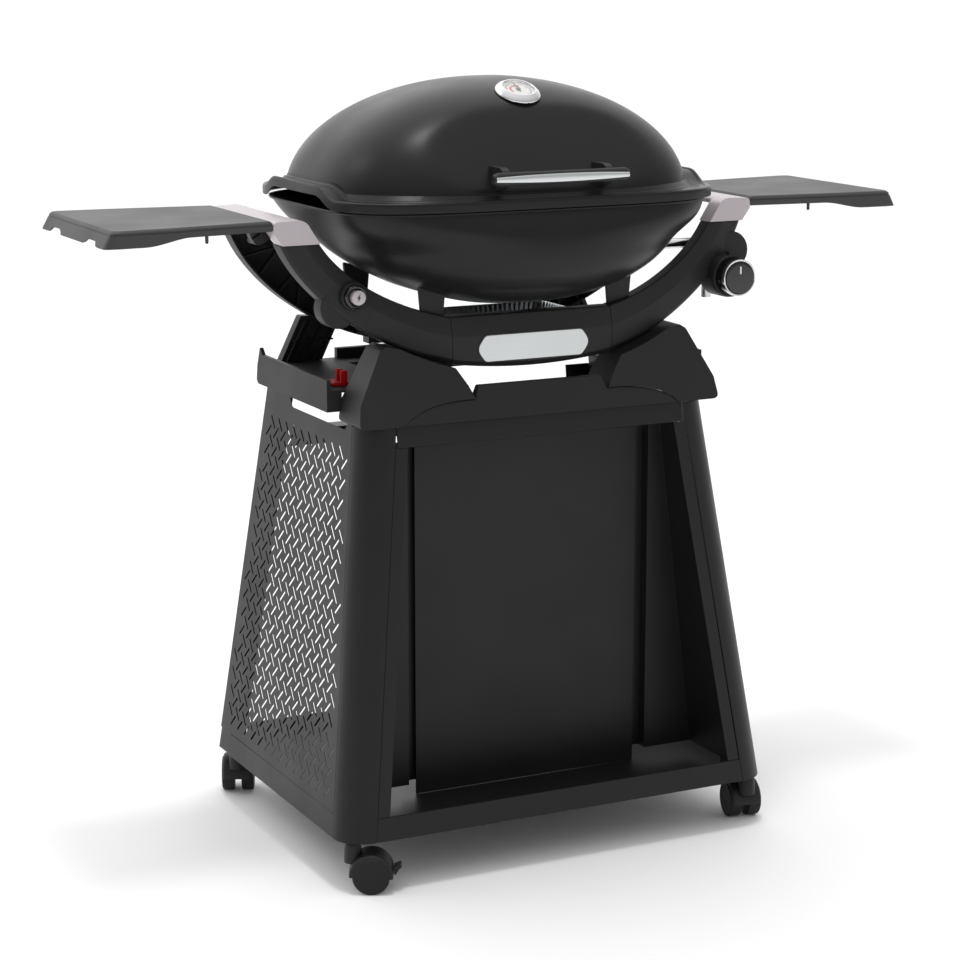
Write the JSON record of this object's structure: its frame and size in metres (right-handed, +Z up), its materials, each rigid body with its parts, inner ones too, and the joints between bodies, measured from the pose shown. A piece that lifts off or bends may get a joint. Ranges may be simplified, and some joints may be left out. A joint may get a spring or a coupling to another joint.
{
  "type": "gas barbecue grill",
  "caption": "Covered gas barbecue grill on a wheeled cabinet cart, with a domed lid, fold-down side tables, a control knob, an igniter and a slide-out grease tray.",
  "frame": {"origin": "on the ground, under the middle of the whole object's box", "axes": "+X to the cook's right, along both side tables, +Y from the cook's side towards the lid hinge, +Z up"},
  "size_m": [1.324, 0.5882, 1.1715],
  "materials": {
    "black_enamel": "satin black porcelain enamel with a fine grain",
    "black_plastic": "satin black moulded nylon, fine texture",
    "cart_paint": "satin black powder coat on sheet steel",
    "table_plastic": "matt grey moulded plastic, fine pebble texture",
    "silver_plastic": "warm light grey satin plastic",
    "chrome": "polished chrome",
    "brushed_metal": "brushed along its length",
    "red_plastic": "satin red",
    "cast_iron": "matt black porcelain enamel on cast iron",
    "pan_metal": "thin pressed aluminium foil",
    "wheel_plastic": "hard black rubber tread"
  },
  "bodies": {
    "cart": {"leg_front_left": "cart_paint", "leg_front_right": "cart_paint", "post_rear_left": "cart_paint", "post_rear_right": "cart_paint", "bottom_shelf": "cart_paint", "side_panel_left": "cart_paint", "side_panel_right": "cart_paint", "front_panel": "cart_paint", "panel_wing_left": "cart_paint", "panel_wing_right": "cart_paint", "crossbeam_front": "cart_paint", "crossbeam_rear": "cart_paint", "corner_cover_left": "black_plastic", "corner_cover_right": "black_plastic", "fascia": "black_plastic", "top_rail_left": "black_plastic", "top_rail_right": "black_plastic", "rear_beam": "black_plastic", "cradle_bar_front": "black_plastic", "cradle_arm_left": "black_plastic", "cradle_arm_right": "black_plastic", "cradle_rear": "black_plastic", "table_bracket_left": "silver_plastic", "table_bracket_right": "silver_plastic", "badge_plate": "brushed_metal", "bowl": "black_enamel", "cooking_grate_left": "cast_iron", "cooking_grate_right": "cast_iron", "burner_loop": "pan_metal", "burner_inlet_tube": "chrome", "gas_valve": "brushed_metal", "igniter_collar": "black_plastic"},
    "lid": {"lid": "black_enamel", "handle_bar": "black_plastic", "handle_strip": "brushed_metal", "handle_bracket_left": "black_plastic", "handle_bracket_right": "black_plastic", "thermometer_case": "chrome"},
    "needle": {"thermometer_needle": "black_plastic"},
    "table_left": {"side_table_left": "table_plastic"},
    "table_right": {"side_table_right": "table_plastic"},
    "valve_stem": {"valve_stem": "brushed_metal"},
    "knob": {"control_knob": "black_plastic", "knob_ring": "chrome"},
    "igniter": {"igniter_button": "brushed_metal"},
    "grease_tray": {"pan_holder": "black_plastic", "grease_pan": "pan_metal"},
    "clip_left": {"lock_clip_left": "red_plastic"},
    "clip_right": {"lock_clip_right": "red_plastic"},
    "caster_front_left": {"caster_hood_front_left": "black_plastic"},
    "wheels_front_left": {"caster_wheels_front_left": "wheel_plastic"},
    "brake_front_left": {"brake_pedal_front_left": "black_plastic"},
    "caster_front_right": {"caster_hood_front_right": "black_plastic"},
    "wheels_front_right": {"caster_wheels_front_right": "wheel_plastic"},
    "brake_front_right": {"brake_pedal_front_right": "black_plastic"},
    "caster_rear_left": {"caster_hood_rear_left": "black_plastic"},
    "wheels_rear_left": {"caster_wheels_rear_left": "wheel_plastic"},
    "caster_rear_right": {"caster_hood_rear_right": "black_plastic"},
    "wheels_rear_right": {"caster_wheels_rear_right": "wheel_plastic"}
  },
  "joints": [
    {"name": "lid_hinge", "type": "hinge", "parent": "cart", "child": "lid", "pos_m": [0, 0.25368, 0.988], "axis": [-1, 0, 0], "range_deg": [0, 85]},
    {"name": "needle_turn", "type": "hinge", "parent": "lid", "child": "needle", "pos_m": [0, -0.10532, 1.14964], "axis": [0, 0.3957, -0.9184], "range_deg": [0, 250], "stiffness_Nm_per_rad": 0.0005},
    {"name": "table_fold_left", "type": "hinge", "parent": "cart", "child": "table_left", "pos_m": [-0.409, 0.00368, 0.948], "axis": [0, -1, 0], "range_deg": [0, 90]},
    {"name": "table_fold_right", "type": "hinge", "parent": "cart", "child": "table_right", "pos_m": [0.409, 0.00368, 0.948], "axis": [0, 1, 0], "range_deg": [0, 90]},
    {"name": "knob_push", "type": "slide", "parent": "cart", "child": "valve_stem", "axis": [0, 1, 0], "range_m": [0, 0.003], "stiffness_N_per_m": 900},
    {"name": "knob_turn", "type": "hinge", "parent": "valve_stem", "child": "knob", "pos_m": [0.357, -0.16632, 0.859], "axis": [0, -1, 0], "range_deg": [0, 225]},
    {"name": "igniter_push", "type": "slide", "parent": "cart", "child": "igniter", "axis": [0, 1, 0], "range_m": [0, 0.005], "stiffness_N_per_m": 400},
    {"name": "tray_slide", "type": "slide", "parent": "cart", "child": "grease_tray", "axis": [0, 1, 0], "range_m": [0, 0.24]},
    {"name": "clip_slide_left", "type": "slide", "parent": "cart", "child": "clip_left", "axis": [0, 1, 0], "range_m": [0, 0.012]},
    {"name": "clip_slide_right", "type": "slide", "parent": "cart", "child": "clip_right", "axis": [0, 1, 0], "range_m": [0, 0.012]},
    {"name": "swivel_front_left", "type": "hinge", "parent": "cart", "child": "caster_front_left", "pos_m": [-0.341, -0.24632, 0.042], "axis": [0, 0, 1], "continuous": true},
    {"name": "roll_front_left", "type": "hinge", "parent": "caster_front_left", "child": "wheels_front_left", "pos_m": [-0.31673, -0.25816, 0.028], "axis": [-0.4384, -0.8988, 0], "continuous": true},
    {"name": "brake_press_front_left", "type": "hinge", "parent": "caster_front_left", "child": "brake_front_left", "pos_m": [-0.28348, -0.27437, 0.03], "axis": [0.4384, 0.8988, 0], "range_deg": [0, 9]},
    {"name": "swivel_front_right", "type": "hinge", "parent": "cart", "child": "caster_front_right", "pos_m": [0.341, -0.24632, 0.042], "axis": [0, 0, 1], "continuous": true},
    {"name": "roll_front_right", "type": "hinge", "parent": "caster_front_right", "child": "wheels_front_right", "pos_m": [0.34661, -0.21991, 0.028], "axis": [0.9781, -0.2079, 0], "continuous": true},
    {"name": "brake_press_front_right", "type": "hinge", "parent": "caster_front_right", "child": "brake_front_right", "pos_m": [0.35431, -0.18372, 0.03], "axis": [-0.9781, 0.2079, 0], "range_deg": [0, 9]},
    {"name": "swivel_rear_left", "type": "hinge", "parent": "cart", "child": "caster_rear_left", "pos_m": [-0.341, 0.22968, 0.042], "axis": [0, 0, 1], "continuous": true},
    {"name": "roll_rear_left", "type": "hinge", "parent": "caster_rear_left", "child": "wheels_rear_left", "pos_m": [-0.33002, 0.25435, 0.028], "axis": [0.9135, -0.4067, 0], "continuous": true},
    {"name": "swivel_rear_right", "type": "hinge", "parent": "cart", "child": "caster_rear_right", "pos_m": [0.341, 0.22968, 0.042], "axis": [0, 0, 1], "continuous": true},
    {"name": "roll_rear_right", "type": "hinge", "parent": "caster_rear_right", "child": "wheels_rear_right", "pos_m": [0.3545, 0.25306, 0.028], "axis": [0.866, -0.5, 0], "continuous": true}
  ]
}
